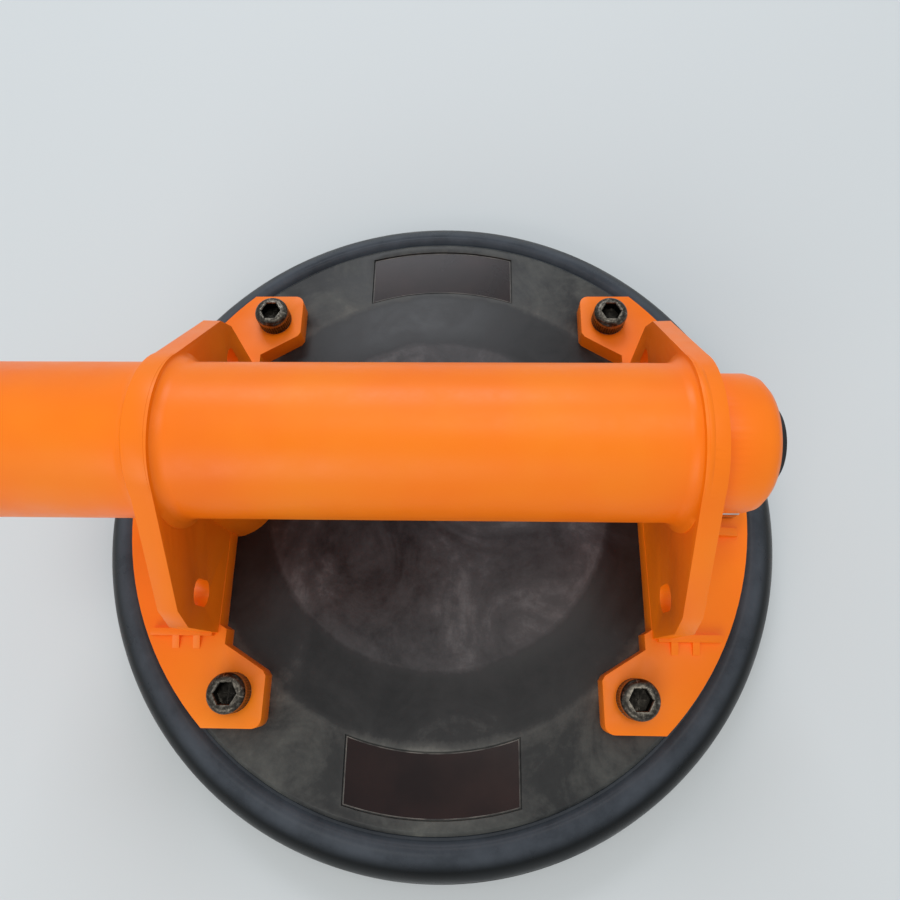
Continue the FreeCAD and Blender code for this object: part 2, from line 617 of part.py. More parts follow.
# room for the raised middle of the cover plate
sketch = new_sketch(frame, "XZ")
outline(sketch, [(0, d.cover_top - 1), (dome_foot_radius + d.dome_gap, d.cover_top - 1),
                 (dome_foot_radius + d.dome_gap, d.cover_top), (dome_top_radius, dome_top + 0.05),
                 (0, dome_top + 0.05)])
feature(frame, "Groove", sketch, "dome_relief", axis="V_Axis")
cut_holes(frame, screw_at, d.screw_thread_radius + d.screw_clearance, ZERO, foot_top + 1,
          "screw_holes")
cut_holes(frame, [pipe_at], d.pipe_radius + d.fit_clearance, ZERO, foot_top + 1, "pipe_hole")
cut_holes(frame, [duct_at], d.nipple_radius + d.fit_clearance, ZERO, d.nipple_top, "nipple_bore")
cut_holes(frame, [duct_at], d.ball_chamber_radius, d.nipple_top - 1, d.ball_chamber_top,
          "ball_chamber")
cut_holes(frame, [duct_at], d.duct_bore, ZERO, d.axis_height, "air_bore")
cut_holes(frame, [duct_at], d.elbow_radius + d.fit_clearance, d.elbow_foot, d.axis_height,
          "elbow_socket")

# ---- air way from the chamber ------------------------------------------------------------
flange_top = d.chamber_height + d.nipple_flange_height
nipple = new_body("suction_nipple")
pad_from(nipple, "XY", (0, 0, flange_top - 0.2),
         lambda s: ring(s, duct_at[0], ZERO, d.nipple_radius), "stalk",
         d.nipple_top - flange_top)
pad_from(nipple, "XY", (0, 0, d.chamber_height),
         lambda s: ring(s, duct_at[0], ZERO, d.nipple_flange_radius), "flange",
         d.nipple_flange_height)
cut_holes(nipple, [duct_at], d.nipple_bore, ZERO, d.nipple_top + 1, "bore")
screen = new_body("port_filter")
pad_from(screen, "XY", (0, 0, d.chamber_height - d.filter_thickness),
         lambda s: ring(s, duct_at[0], ZERO, d.filter_radius), "disc", d.filter_thickness)
ball = doc.addObject("Part::Sphere", "check_ball")
ball.Label = "check_ball"
bind(ball, "Radius", d.ball_radius)
seat_drop = across(d.ball_radius, d.nipple_bore)
bind(ball, "Placement.Base.x", duct_at[0])
bind(ball, "Placement.Base.z", d.nipple_top - 0.2 + seat_drop + 0.05)


def swept(label, points, radius, bore, bend):
    """Tube along points given as (x, y, z) sizes; each corner is turned in two mitres."""
    spots = [V(*[number(c) for c in p]) for p in points]
    path = [spots[0]]
    for before, corner, after in zip(spots[:-2], spots[1:-1], spots[2:]):
        to_a, to_b = (before - corner).normalize(), (after - corner).normalize()
        half = to_a.getAngle(to_b) / 2
        cut = number(bend) / math.tan(half)
        middle = corner + (to_a + to_b).normalize() * (number(bend) / math.sin(half) - number(bend))
        path += [corner + to_a * cut, middle, corner + to_b * cut]
    path.append(spots[-1])
    item = doc.addObject("Part::Feature", label)
    item.Label = label
    item.Shape = mitred(path, radius).cut(mitred(path, bore))
    return item


def mitred(path, radius):
    """Round rod along straight runs, mitred where they meet."""
    way = (path[1] - path[0]).normalize()
    loop = Part.Wire([Part.Circle(path[0], way, number(radius)).toShape()])
    rod = Part.BRepOffsetAPI.MakePipeShell(Part.makePolygon(path))
    rod.setTransitionMode(1)
    rod.add(loop, False, True)
    rod.build()
    rod.makeSolid()
    return rod.shape()


pipe_top = d.axis_height - 4.4
vent_pipe = swept("vent_pipe", [
    (pipe_across, -d.pipe_along, d.chamber_height + 0.5),
    (pipe_across, -d.pipe_along, d.pipe_low_bend),
    (d.pipe_top_across, -d.pipe_along, d.pipe_high_bend), (d.pipe_top_across, -d.pipe_along, pipe_top)],
    d.pipe_radius, d.pipe_bore, d.pipe_bend_radius)
pipe_nut = new_body("pipe_nut")
sketch = new_sketch(pipe_nut, "XY", (0, 0, foot_top))
hexagon(sketch, pipe_at[0], pipe_at[1], d.pipe_nut_flats)
ring(sketch, pipe_at[0], pipe_at[1], d.pipe_radius + d.fit_clearance)
feature(pipe_nut, "Pad", sketch, "pipe_nut_pad", length=d.pipe_nut_height)
elbow_height = d.axis_height - d.pump_inlet_drop
inlet_elbow = swept("inlet_elbow", [
    (-d.duct_across, ZERO, d.elbow_foot), (-d.duct_across, ZERO, elbow_height),
    (-d.pump_left - 0.3, ZERO, elbow_height)],
    d.elbow_radius, d.elbow_bore, d.elbow_bend)

# ---- release valve in the right end cap --------------------------------------------------
spigot = d.bore_radius - d.spigot_gap
groove = d.seal_ring_radius - d.seal_cord_radius
groove_half = d.seal_cord_radius + d.seal_groove_gap
recess = d.button_radius + d.button_gap
round_start = d.cap_end - d.cap_rounding
cap_edge = bowed((round_start, d.cap_radius), (d.cap_end, d.cap_radius - d.cap_rounding),
                 d.round_bow, 3)
cap = grip_turned("valve_cap", [
    (d.cap_spigot, d.cap_recess_radius), (d.cap_spigot, spigot),
    (d.seal_across - groove_half, spigot), (d.seal_across - groove_half, groove),
    (d.seal_across + groove_half, groove), (d.seal_across + groove_half, spigot),
    (d.grip_right, spigot), (d.grip_right, d.cap_radius)] + cap_edge + [
    (d.cap_end, d.cap_radius - d.cap_rounding), (d.cap_end, recess),
    (d.button_recess_start, recess), (d.button_recess_start, d.stem_radius + d.fit_clearance),
    (d.valve_seat, d.stem_radius + d.fit_clearance), (d.valve_seat, d.cap_chamber_radius),
    (d.cap_bore_start, d.cap_chamber_radius), (d.cap_bore_start, ZERO),
    (d.cap_bore_start - d.cap_floor, ZERO), (d.cap_bore_start - d.cap_floor, d.cap_recess_radius)])
sketch = new_sketch(cap, "XY", (0, 0, d.axis_height - d.cap_radius - 1))
ring(sketch, d.pipe_top_across, -d.pipe_along, d.pipe_radius + d.fit_clearance)
feature(cap, "Pocket", sketch, "pipe_hole", length=d.cap_radius - 2, reverse=True)


# moulded seal ring: an eight-sided section that fills its groove
seal_low, seal_high = groove + d.fit_clearance, spigot
seal_left, seal_right = d.seal_across - d.seal_cord_radius, d.seal_across + d.seal_cord_radius
soft_edge = d.seal_cord_radius * 0.45
grip_turned("cap_seal", [
    (seal_left + soft_edge, seal_low), (seal_right - soft_edge, seal_low),
    (seal_right, seal_low + soft_edge), (seal_right, seal_high - soft_edge),
    (seal_right - soft_edge, seal_high), (seal_left + soft_edge, seal_high),
    (seal_left, seal_high - soft_edge), (seal_left, seal_low + soft_edge)])
button_base = d.button_recess_start + d.release_travel + d.travel_margin
button_shoulder = button_base + d.button_wall
button_end = button_shoulder + d.button_crown
button_inner = button_end - d.button_socket
grip_turned("release_button", [
    (button_base, d.stem_radius), (button_base, d.button_radius)]
    + bowed((button_shoulder, d.button_radius), (button_end, ZERO), d.button_bow, 4)
    + [(button_end, ZERO), (button_inner, ZERO), (button_inner, d.stem_radius)])
seal_face = d.valve_seat - d.stem_seal_thickness
grip_turned("release_stem", [
    (d.stem_tail_end, ZERO), (d.stem_tail_end, d.stem_tail_radius),
    (seal_face - d.stem_shoulder_thickness, d.stem_tail_radius),
    (seal_face - d.stem_shoulder_thickness, d.stem_shoulder_radius),
    (seal_face, d.stem_shoulder_radius), (seal_face, d.stem_radius),
    (button_inner, d.stem_radius), (button_inner, ZERO)])
grip_turned("stem_seal", [
    (seal_face, d.stem_radius), (seal_face, d.stem_seal_radius),
    (d.valve_seat - 0.05, d.stem_seal_radius), (d.valve_seat - 0.05, d.stem_radius)])


def coil(label, left, right, coil_radius, wire_radius, pitch, sides=12):
    """Compression spring about the grip axis, its wire run in short straight lengths."""
    length = number(right) - number(left)
    steps = int(math.ceil(length / number(pitch) * sides))
    path = []
    for step in range(steps + 1):
        angle = 2 * math.pi * step / sides
        path.append(V(number(left) + length * step / steps,
                      number(coil_radius) * math.cos(angle), number(coil_radius) * math.sin(angle)))
    way = (path[1] - path[0]).normalize()
    side = way.cross(V(0, 1, 0)).normalize()
    corners = []
    for k in range(7):
        spin = FreeCAD.Rotation(way, 60.0 * k)
        corners.append(path[0] + spin.multVec(side) * number(wire_radius))
    wire = Part.BRepOffsetAPI.MakePipeShell(Part.makePolygon(path))
    wire.setTransitionMode(1)
    wire.add(Part.makePolygon(corners), False, False)
    wire.build()
    wire.makeSolid()
    item = doc.addObject("Part::Feature", label)
    item.Label = label
    spring = wire.shape()
    spring.translate(V(0, 0, number(d.axis_height)))
    item.Shape = spring
    return item


release_spring = coil("release_spring", d.cap_bore_start + d.spring_wire + 0.05,
                      seal_face - d.stem_shoulder_thickness - d.spring_wire - 0.05,
                      d.spring_radius, d.spring_wire, d.spring_pitch)

# ---- left end cap with its button, window and charging socket ---------------------------
wall_start = d.end_cap_end - d.end_cap_wall
end_edge = bowed((-(d.end_cap_end - d.end_cap_rounding), d.grip_radius),
                 (-d.end_cap_end, d.grip_radius - d.end_cap_rounding), -d.round_bow, 3)
end_cap = grip_turned("end_cap", [
    (-d.board_face, spigot - d.end_cap_ring), (-d.board_face, spigot), (-d.grip_left, spigot),
    (-d.grip_left, d.grip_radius)] + end_edge + [
    (-d.end_cap_end, d.grip_radius - d.end_cap_rounding), (-d.end_cap_end, ZERO),
    (-wall_start, ZERO), (-wall_start, spigot - d.end_cap_ring)])


def face_sketch(body, station):
    """Sketch square to the grip, its origin on the grip axis."""
    return new_sketch(body, "YZ", (0, d.axis_height, station))


sketch = face_sketch(end_cap, -d.end_cap_end - 2)
ring(sketch, ZERO, d.power_rise, d.power_radius + d.power_gap)
box_outline(sketch, -(d.port_half_width + 0.3), d.port_half_width + 0.3,
            -(d.port_drop + d.port_half_height + 0.3), -(d.port_drop - d.port_half_height - 0.3))
box_outline(sketch, -(d.window_half_width + 0.05), d.window_half_width + 0.05,
            d.window_rise - d.window_half_height - 0.05, d.window_rise + d.window_half_height + 0.05)
feature(end_cap, "Pocket", sketch, "face_openings", length=d.end_cap_wall + 3, reverse=True)
# seat for the charging flap, and the holes for its hinge pins
flap_low, flap_high = -(d.port_drop + d.flap_half_height), -(d.port_drop - d.flap_half_height)
flap_back = -(d.end_cap_end - d.flap_depth)
flap_round = d.flap_thickness / 2
hinge_across = flap_back - flap_round
hinge_rise = d.axis_height + flap_low + flap_round
sketch = face_sketch(end_cap, -d.end_cap_end - 2)
box_outline(sketch, -(d.flap_half_width + d.flap_gap), d.flap_half_width + d.flap_gap,
            flap_low - d.flap_gap, flap_high + d.flap_gap)
feature(end_cap, "Pocket", sketch, "flap_seat", length=d.flap_depth + d.fit_clearance + 2,
        reverse=True)
pad_from(end_cap, "XZ", None,
         lambda s: ring(s, hinge_across, hinge_rise, d.flap_pin_radius + d.fit_clearance),
         "hinge_holes", (d.flap_half_width + d.flap_gap + d.flap_pin_length) * 2,
         midplane=True, kind="Pocket")

power_button = grip_turned("power_button", [
    (-d.power_end, ZERO), (-d.power_end, d.power_radius - 0.6), (-(d.power_end - 0.6), d.power_radius * 1.0),
    (-(wall_start - 0.05), d.power_radius * 1.0), (-(wall_start - 0.05), d.power_flange_radius),
    (-(wall_start - 0.05 - d.power_flange), d.power_flange_radius),
    (-(wall_start - 0.05 - d.power_flange), ZERO)])
bind(power_button, "Placement.Base.z", d.power_rise)
window = new_body("display_window")
sketch = face_sketch(window, -d.end_cap_end + 0.2)
box_outline(sketch, -d.window_half_width, d.window_half_width,
            d.window_rise - d.window_half_height, d.window_rise + d.window_half_height)
feature(window, "Pad", sketch, "window_pad", length=d.window_thickness)
# charging flap: its lower edge is rounded about the hinge pins
flap = new_body("charge_flap")
sketch = new_sketch(flap, "XZ")
flap_top = d.axis_height + flap_high
outline(sketch, [
    (flap_back, flap_top), (flap_back - d.flap_thickness, flap_top),
    (flap_back - d.flap_thickness, hinge_rise, flap_round),
    (hinge_across, hinge_rise - flap_round, flap_round), (flap_back, hinge_rise)])
flap_pad = feature(flap, "Pad", sketch, "flap_pad", length=d.flap_half_width * 2, midplane=True)
doc.recompute()
flap_edges = ["Edge%d" % (k + 1) for k, e in enumerate(flap_pad.Shape.Edges)
              if abs(e.CenterOfMass.z - number(flap_top)) < 0.01
              and abs(e.Length - d.flap_thickness.value) < 0.01]
soft = flap.newObject("PartDesign::Fillet", "flap_corners")
soft.Base = (flap_pad, flap_edges)
bind(soft, "Radius", d.flap_half_height * 0.4)
flap.Tip = soft
pad_from(flap, "XZ", None, lambda s: ring(s, hinge_across, hinge_rise, d.flap_pin_radius),
         "hinge_pins", (d.flap_half_width + d.flap_pin_length) * 2, midplane=True)

# ---- circuit board and what it carries ---------------------------------------------------
board = grip_turned("circuit_board", [
    (-d.board_face, ZERO), (-d.board_face, d.board_radius),
    (-(d.board_face - d.board_thickness), d.board_radius), (-(d.board_face - d.board_thickness), ZERO)])


def block(label, across0, across1, y0, y1, z0, z1):
    """Square-cornered piece; heights are measured from the grip axis."""
    body = new_body(label)
    sketch = face_sketch(body, across0)
    box_outline(sketch, y0, y1, z0, z1)
    feature(body, "Pad", sketch, label + "_pad", length=across1 - across0)
    return body


switch = block("power_switch", -d.board_face - d.switch_depth, -d.board_face,
               -d.switch_half, d.switch_half, d.power_rise - d.switch_half,
               d.power_rise + d.switch_half)
sketch = face_sketch(switch, -(wall_start - 0.05 - d.power_flange) + d.power_travel + 0.3)
ring(sketch, ZERO, d.power_rise, 1.6)
feature(switch, "Pad", sketch, "plunger",
        length=wall_start - 0.05 - d.power_flange - d.power_travel - 0.3 - d.board_face - 1)
socket = block("charge_socket", -d.board_face - d.socket_depth, -d.board_face,
               -d.port_half_width, d.port_half_width, -(d.port_drop + d.port_half_height),
               -(d.port_drop - d.port_half_height))
sketch = face_sketch(socket, -d.board_face - d.socket_depth)
box_outline(sketch, -(d.port_half_width - 0.5), d.port_half_width - 0.5,
            -(d.port_drop + d.port_half_height - 0.5), -(d.port_drop - d.port_half_height + 0.5))
feature(socket, "Pocket", sketch, "mouth", length=d.socket_depth - 2, reverse=True)
board_back = d.board_face - d.board_thickness
chip = block("control_chip", -board_back, -board_back + d.chip_height, -d.chip_half, d.chip_half,
             -(d.chip_half + 4), d.chip_half - 4)
sensor = block("pressure_sensor", -board_back, -board_back + d.sensor_height, -d.sensor_half,
               d.sensor_half, d.sensor_half - 0.5, d.sensor_half * 3 - 0.5)

# ---- chassis that carries pump, motor and cell -------------------------------------------
pump_end = d.pump_left - d.pump_length
motor_start = -d.motor_left
motor_end = motor_start + d.motor_length
cell_end = d.cell_left + d.cell_length + d.cell_cap
contact_left = d.cell_left - d.contact_bump - d.contact_thickness
contact_right = cell_end + 0.1
r_out, r_in = d.chassis_radius, d.chassis_inner
low = d.chassis_rib


def rib_steps(stations):
    """Inner line of the chassis from right to left, dropping to each rib's radius."""
    line = []
    for right, left, radius in stations:
        line += [(right, -r_in), (right, -radius), (left, -radius), (left, -r_in)]
    return line


motor_fit = d.motor_radius + d.fit_clearance
cell_fit = d.cell_radius + d.fit_clearance
ribs = rib_steps([
    (d.chassis_right, d.chassis_right - low * 0.35, Size(4.0, "4")),
    (d.cell_left + d.cell_length - 4, d.cell_left + d.cell_length - 4 - low, cell_fit),
    (d.cell_left + 6, d.cell_left + 6 - low, cell_fit),
    (contact_left, contact_left - low, Size(4.0, "4")),
    (motor_end - 4, motor_end - 4 - low, motor_fit),
    (motor_start + 6, motor_start + 6 - low, motor_fit)])
chassis = grip_turned("chassis", [(-d.chassis_left, -r_out), (d.chassis_right, -r_out)]
                      + ribs[1:] + [(-d.chassis_left, -r_in)], angle=Size(180.0, "180"))
cut_holes(chassis, [duct_at], d.chassis_hole, d.axis_height - d.bore_radius - 1,
          d.axis_height - 9, "duct_window")

# ---- diaphragm pump ----------------------------------------------------------------------
pump = grip_turned("pump_head", [
    (-d.pump_left, ZERO), (-d.pump_left, d.pump_radius), (-pump_end, d.pump_radius),
    (-pump_end, d.pump_cavity), (-d.pump_cavity_left, d.pump_cavity), (-d.pump_cavity_left, ZERO)])
pump_spout = face_sketch(pump, -d.pump_left - d.pump_inlet_length)
ring(pump_spout, ZERO, -d.pump_inlet_drop, d.pump_inlet_radius)
feature(pump, "Pad", pump_spout, "inlet", length=d.pump_inlet_length + 1)
sketch = face_sketch(pump, -d.pump_left - d.pump_inlet_length - 1)
ring(sketch, ZERO, -d.pump_inlet_drop, d.pump_inlet_bore)
feature(pump, "Pocket", sketch, "inlet_bore", length=d.pump_inlet_length + 12, reverse=True)
diaphragm_end = d.pump_cavity_left - d.diaphragm_thickness
grip_turned("pump_diaphragm", [
    (-d.pump_cavity_left, ZERO), (-d.pump_cavity_left, d.pump_cavity),
    (-diaphragm_end, d.pump_cavity), (-diaphragm_end, ZERO)])
yoke_end = diaphragm_end - d.yoke_thickness
grip_turned("pump_yoke", [
    (-diaphragm_end, ZERO), (-diaphragm_end, d.yoke_radius), (-yoke_end, d.yoke_radius),
    (-yoke_end, d.crank_throw + d.crank_pin_radius + 0.4),
    (-(yoke_end + d.crank_pin_length), d.crank_throw + d.crank_pin_radius + 0.4),
    (-(yoke_end + d.crank_pin_length), ZERO)])
crank = grip_turned("pump_crank", [
    (-d.crank_left, d.shaft_radius), (-d.crank_left, d.crank_radius),
    (-(d.crank_left - d.crank_length), d.crank_radius), (-(d.crank_left - d.crank_length), d.shaft_radius)])
sketch = face_sketch(crank, -d.crank_left - d.crank_pin_length)
ring(sketch, ZERO, d.crank_throw + d.shaft_radius * 0.4, d.crank_pin_radius * 0.55)
feature(crank, "Pad", sketch, "pin", length=d.crank_pin_length + 1)

# ---- motor -------------------------------------------------------------------------------
shaft_hole = d.shaft_radius + d.fit_clearance
motor_inner = d.motor_radius - d.motor_wall
motor_can = grip_turned("motor_can", [
    (motor_start, shaft_hole), (motor_start, d.motor_radius), (motor_end, d.motor_radius),
    (motor_end, d.motor_boss_radius), (motor_end + d.motor_boss_length, d.motor_boss_radius),
    (motor_end + d.motor_boss_length, shaft_hole), (motor_end - d.motor_wall, shaft_hole),
    (motor_end - d.motor_wall, motor_inner), (motor_start + d.motor_wall, motor_inner),
    (motor_start + d.motor_wall, shaft_hole)])
magnet_out = motor_inner - d.fit_clearance
magnet_in = magnet_out - d.magnet_thickness
arcs = []
for turn in range(2):
    magnet = new_body("magnet_%d" % turn)
    sketch = new_sketch(magnet, "XZ", AXIS_SHIFT)
    sign = 1 if turn else -1
    outline(sketch, [
        (motor_start + d.magnet_end_gap, magnet_in * sign), (motor_end - d.magnet_end_gap, magnet_in * sign),
        (motor_end - d.magnet_end_gap, magnet_out * sign), (motor_start + d.magnet_end_gap, magnet_out * sign)])
    feature(magnet, "Revolution", sketch, "magnet_turn_%d" % turn, axis="H_Axis",
            angle=Size(130.0, "130"), midplane=True)
    arcs.append(magnet)
motor_magnets = cluster("motor_magnets", arcs)
armature = grip_turned("motor_armature", [
    (motor_start + d.armature_end_gap, d.shaft_radius), (motor_start + d.armature_end_gap, d.armature_radius),
    (motor_end - d.armature_end_gap, d.armature_radius), (motor_end - d.armature_end_gap, d.shaft_radius)])
sketch = face_sketch(armature, motor_start)
for turn in range(3):
    a = math.radians(90 + 120 * turn)
    c, s = math.cos(a), math.sin(a)
    near, far, half = d.armature_radius * 0.45, d.armature_radius * 1.1, d.armature_slot / 2
    outline(sketch, [(near * c - half * s, near * s + half * c), (near * c + half * s, near * s - half * c),
                     (far * c + half * s, far * s - half * c), (far * c - half * s, far * s + half * c)])
feature(armature, "Pocket", sketch, "slots", length=d.motor_length, reverse=True)
grip_turned("motor_shaft", [
    (-d.crank_left, ZERO), (-d.crank_left, d.shaft_radius), (motor_end + 1, d.shaft_radius),
    (motor_end + 1, ZERO)])

# ---- cell and its contacts ---------------------------------------------------------------
cell_body_end = d.cell_left + d.cell_length
grip_turned("battery_cell", [
    (d.cell_left, ZERO), (d.cell_left, d.cell_radius), (cell_body_end, d.cell_radius),
    (cell_body_end, d.cell_cap_radius), (cell_end, d.cell_cap_radius), (cell_end, ZERO)])
left_contact = grip_turned("contact_left", [
    (contact_left, ZERO), (contact_left, d.contact_radius),
    (contact_left + d.contact_thickness, d.contact_radius),
    (d.cell_left - 0.05, d.contact_radius * 0.35), (d.cell_left - 0.05, ZERO)])
right_contact = grip_turned("contact_right", [
    (cell_end + 0.02, ZERO), (cell_end + 0.02, d.contact_radius * 0.8),
    (cell_end + 0.37, d.contact_radius * 0.8), (cell_end + 0.37, ZERO)])
contacts = cluster("battery_contacts", [left_contact, right_contact])

doc.recompute()

# ---- write every node --------------------------------------------------------------------
NODES = [
    "suction_pad", "backing_plate", "weld_nuts", "cover_plate", "label_front", "label_rear",
    "frame_screws", "handle_frame", "suction_nipple", "port_filter", "check_ball", "vent_pipe",
    "pipe_nut", "inlet_elbow", "valve_cap", "cap_seal", "release_button", "release_stem",
    "stem_seal", "release_spring", "end_cap", "power_button", "display_window", "charge_flap",
    "circuit_board", "power_switch", "charge_socket", "control_chip", "pressure_sensor",
    "chassis", "pump_head", "pump_diaphragm", "pump_yoke", "pump_crank", "motor_can",
    "motor_magnets", "motor_armature", "motor_shaft", "battery_cell", "battery_contacts"]
problems = []
for item in doc.Objects:
    if "Invalid" in item.State or "Error" in item.State:
        problems.append("%s is %s" % (item.Label, item.State))
for name in NODES:
    found = [o for o in doc.Objects if o.Label == name]
    if len(found) != 1:
        problems.append("%s appears %d times" % (name, len(found)))
        continue
    shape = found[0].Shape
    if shape.isNull() or not shape.isValid():
        problems.append("%s has no valid shape" % name)
if problems:
    raise RuntimeError("; ".join(problems))
for name in NODES:
    doc.getObjectsByLabel(name)[0].Shape.exportStep("parts/%s.step" % name)
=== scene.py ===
import math

import bpy
from mathutils import Matrix, Vector


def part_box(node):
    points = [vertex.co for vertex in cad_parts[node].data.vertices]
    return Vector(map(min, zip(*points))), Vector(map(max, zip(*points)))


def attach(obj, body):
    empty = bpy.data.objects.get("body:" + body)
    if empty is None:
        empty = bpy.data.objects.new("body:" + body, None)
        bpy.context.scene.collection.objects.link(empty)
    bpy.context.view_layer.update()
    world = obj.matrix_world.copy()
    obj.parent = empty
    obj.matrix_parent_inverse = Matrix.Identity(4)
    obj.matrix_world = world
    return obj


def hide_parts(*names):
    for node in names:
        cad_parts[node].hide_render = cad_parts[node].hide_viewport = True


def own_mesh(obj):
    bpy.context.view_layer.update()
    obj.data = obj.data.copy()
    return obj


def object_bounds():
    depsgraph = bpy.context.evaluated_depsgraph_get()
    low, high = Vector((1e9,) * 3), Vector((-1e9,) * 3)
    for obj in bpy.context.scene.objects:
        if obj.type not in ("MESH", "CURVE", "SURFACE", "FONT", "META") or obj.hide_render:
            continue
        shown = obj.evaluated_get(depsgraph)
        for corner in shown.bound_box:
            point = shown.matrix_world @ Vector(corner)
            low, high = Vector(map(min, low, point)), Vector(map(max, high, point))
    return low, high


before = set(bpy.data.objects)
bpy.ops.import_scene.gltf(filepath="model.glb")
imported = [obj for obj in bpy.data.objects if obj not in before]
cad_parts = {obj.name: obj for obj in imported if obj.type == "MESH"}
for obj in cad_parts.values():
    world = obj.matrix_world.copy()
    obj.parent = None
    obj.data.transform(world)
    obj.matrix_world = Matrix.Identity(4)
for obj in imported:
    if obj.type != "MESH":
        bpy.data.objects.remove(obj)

cad_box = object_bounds()
MM = 0.001


# ---- small tools -------------------------------------------------------------------------
def linear(hex_code):
    """sRGB hex to a linear colour with full alpha."""
    channels = [int(hex_code[i:i + 2], 16) / 255 for i in (1, 3, 5)]
    return tuple(c / 12.92 if c <= 0.04045 else ((c + 0.055) / 1.055) ** 2.4
                 for c in channels) + (1.0,)


def add(tree, kind, inputs=None, stops=None, **settings):
    """One shader node: its settings, its colour stops, and inputs that are values or links."""
    node = tree.nodes.new("ShaderNode" + kind)
    for name, value in settings.items():
        setattr(node, name, value)
    for socket, value in (inputs or {}).items():
        if isinstance(value, bpy.types.NodeSocket):
            tree.links.new(value, node.inputs[socket])
        else:
            node.inputs[socket].default_value = value
    for place, (position, colour) in enumerate(stops or ()):
        elements = node.color_ramp.elements
        element = elements[place] if place < len(elements) else elements.new(position)
        element.position = position
        element.color = colour if isinstance(colour, tuple) else (colour, colour, colour, 1)
    return node


def new_material(name):
    """An empty node material, with the object's own coordinates to lay patterns on."""
    material = bpy.data.materials.new(name)
    material.use_nodes = True
    tree = material.node_tree
    tree.nodes.clear()
    return material, tree, add(tree, "TexCoord").outputs["Object"]


def per_metre(feature_mm):
    """Noise scale that makes one feature about this many millimetres across."""
    return 1.0 / (feature_mm * MM)


# ---- materials ---------------------------------------------------------------------------
def moulded_orange_abs():
    """Orange ABS from an etched mould: even colour, soft broad gloss, and a fine grain.

    Hands have polished it in patches, so its roughness wanders.
    """
    material, tree, place = new_material("orange_abs_moulded")
    cloud = add(tree, "TexNoise", {"Vector": place, "Scale": per_metre(38), "Detail": 3.0})
    colour = add(tree, "ValToRGB", {"Fac": cloud.outputs["Fac"]}, stops=[
        (0.30, linear("#FB7402")), (0.52, linear("#FF7E05")), (0.75, linear("#FF880E"))])
    rub = add(tree, "TexNoise", {"Vector": place, "Scale": per_metre(9), "Detail": 6.0,
                                 "Roughness": 0.7})
    rough = add(tree, "ValToRGB", {"Fac": rub.outputs["Fac"]},
                stops=[(0.35, 0.36), (0.62, 0.46), (0.80, 0.54)])
    # real grain is near 0.1 mm; drawn at 0.7 mm so that it still breaks up the gloss
    grain = add(tree, "TexNoise", {"Vector": place, "Scale": per_metre(0.7), "Detail": 2.0})
    bump = add(tree, "Bump", {"Height": grain.outputs["Fac"], "Strength": 0.16,
                              "Distance": 0.06 * MM})
    shader = add(tree, "BsdfPrincipled", {
        "Base Color": colour.outputs["Color"], "Roughness": rough.outputs["Color"],
        "Normal": bump.outputs["Normal"], "IOR": 1.53, "Specular IOR Level": 0.28})
    add(tree, "OutputMaterial", {"Surface": shader.outputs["BSDF"]})
    return material


def moulded_black_abs():
    """Black ABS cover: satin, greyed by dry cement dust that hands and cloths have smeared.

    Dust lies thick on the middle and on the outer band, and thin on the ring between,
    which is darkened further as painted shade of its slope.
    """
    material, tree, place = new_material("black_abs_moulded")
    smear = add(tree, "TexNoise", {"Vector": place, "Scale": per_metre(24), "Detail": 7.0,
                                   "Roughness": 0.60, "Distortion": 1.2})
    fleck = add(tree, "TexNoise", {"Vector": place, "Scale": per_metre(5), "Detail": 5.0,
                                   "Roughness": 0.75})
    wiped = add(tree, "Mix", {"Factor": 0.30, "A": smear.outputs["Fac"],
                              "B": fleck.outputs["Fac"]}, data_type="FLOAT")
    apart = add(tree, "SeparateXYZ", {"Vector": place})
    flat = add(tree, "CombineXYZ", {"X": apart.outputs["X"], "Y": apart.outputs["Y"], "Z": 0.0})
    reach = add(tree, "VectorMath", {"Vector": flat.outputs["Vector"]}, operation="LENGTH")
    band_from, band_to = 48 * MM, 72 * MM
    band = add(tree, "MapRange", {
        "Value": reach.outputs["Value"], "From Min": band_from, "From Max": band_to,
        "To Min": 0.0, "To Max": 1.0})
    # painted shade: the dust dips on the ring from 50 to 65 mm, darkening the slope there
    lie = add(tree, "ValToRGB", {"Fac": band.outputs["Result"]},
              stops=[(0.0, 0.56), (0.09, 0.30), (0.72, 0.34), (0.82, 0.58), (1.0, 0.50)])
    dust_and_shade = add(tree, "Math", {0: wiped.outputs["Result"], 1: lie.outputs["Color"]},
               operation="ADD")
    spread = add(tree, "MapRange", {
        "Value": dust_and_shade.outputs["Value"], "From Min": 0.70, "From Max": 1.34,
        "To Min": 0.0, "To Max": 1.0})
    middle = add(tree, "ValToRGB", {"Fac": spread.outputs["Result"]}, stops=[
        (0.0, linear("#171718")), (0.36, linear("#272628")), (0.62, linear("#434244")),
        (1.0, linear("#767577"))])
    outside = add(tree, "ValToRGB", {"Fac": spread.outputs["Result"]}, stops=[
        (0.0, linear("#18191A")), (0.36, linear("#2A2B2B")), (0.62, linear("#4A4B48")),
        (1.0, linear("#7D7C74"))])
    colour = add(tree, "Mix", {"Factor": band.outputs["Result"], 6: middle.outputs["Color"],
                               7: outside.outputs["Color"]}, data_type="RGBA")
    rough = add(tree, "ValToRGB", {"Fac": spread.outputs["Result"]},
                stops=[(0.10, 0.36), (0.55, 0.50), (0.95, 0.70)])
    grain = add(tree, "TexNoise", {"Vector": place, "Scale": per_metre(0.6), "Detail": 2.0})
    bump = add(tree, "Bump", {"Height": grain.outputs["Fac"], "Strength": 0.10,
                              "Distance": 0.05 * MM})
    shader = add(tree, "BsdfPrincipled", {
        "Base Color": colour.outputs[2], "Roughness": rough.outputs["Color"],
        "Normal": bump.outputs["Normal"], "IOR": 1.53, "Specular IOR Level": 0.30})
    add(tree, "OutputMaterial", {"Surface": shader.outputs["BSDF"]})
    return material


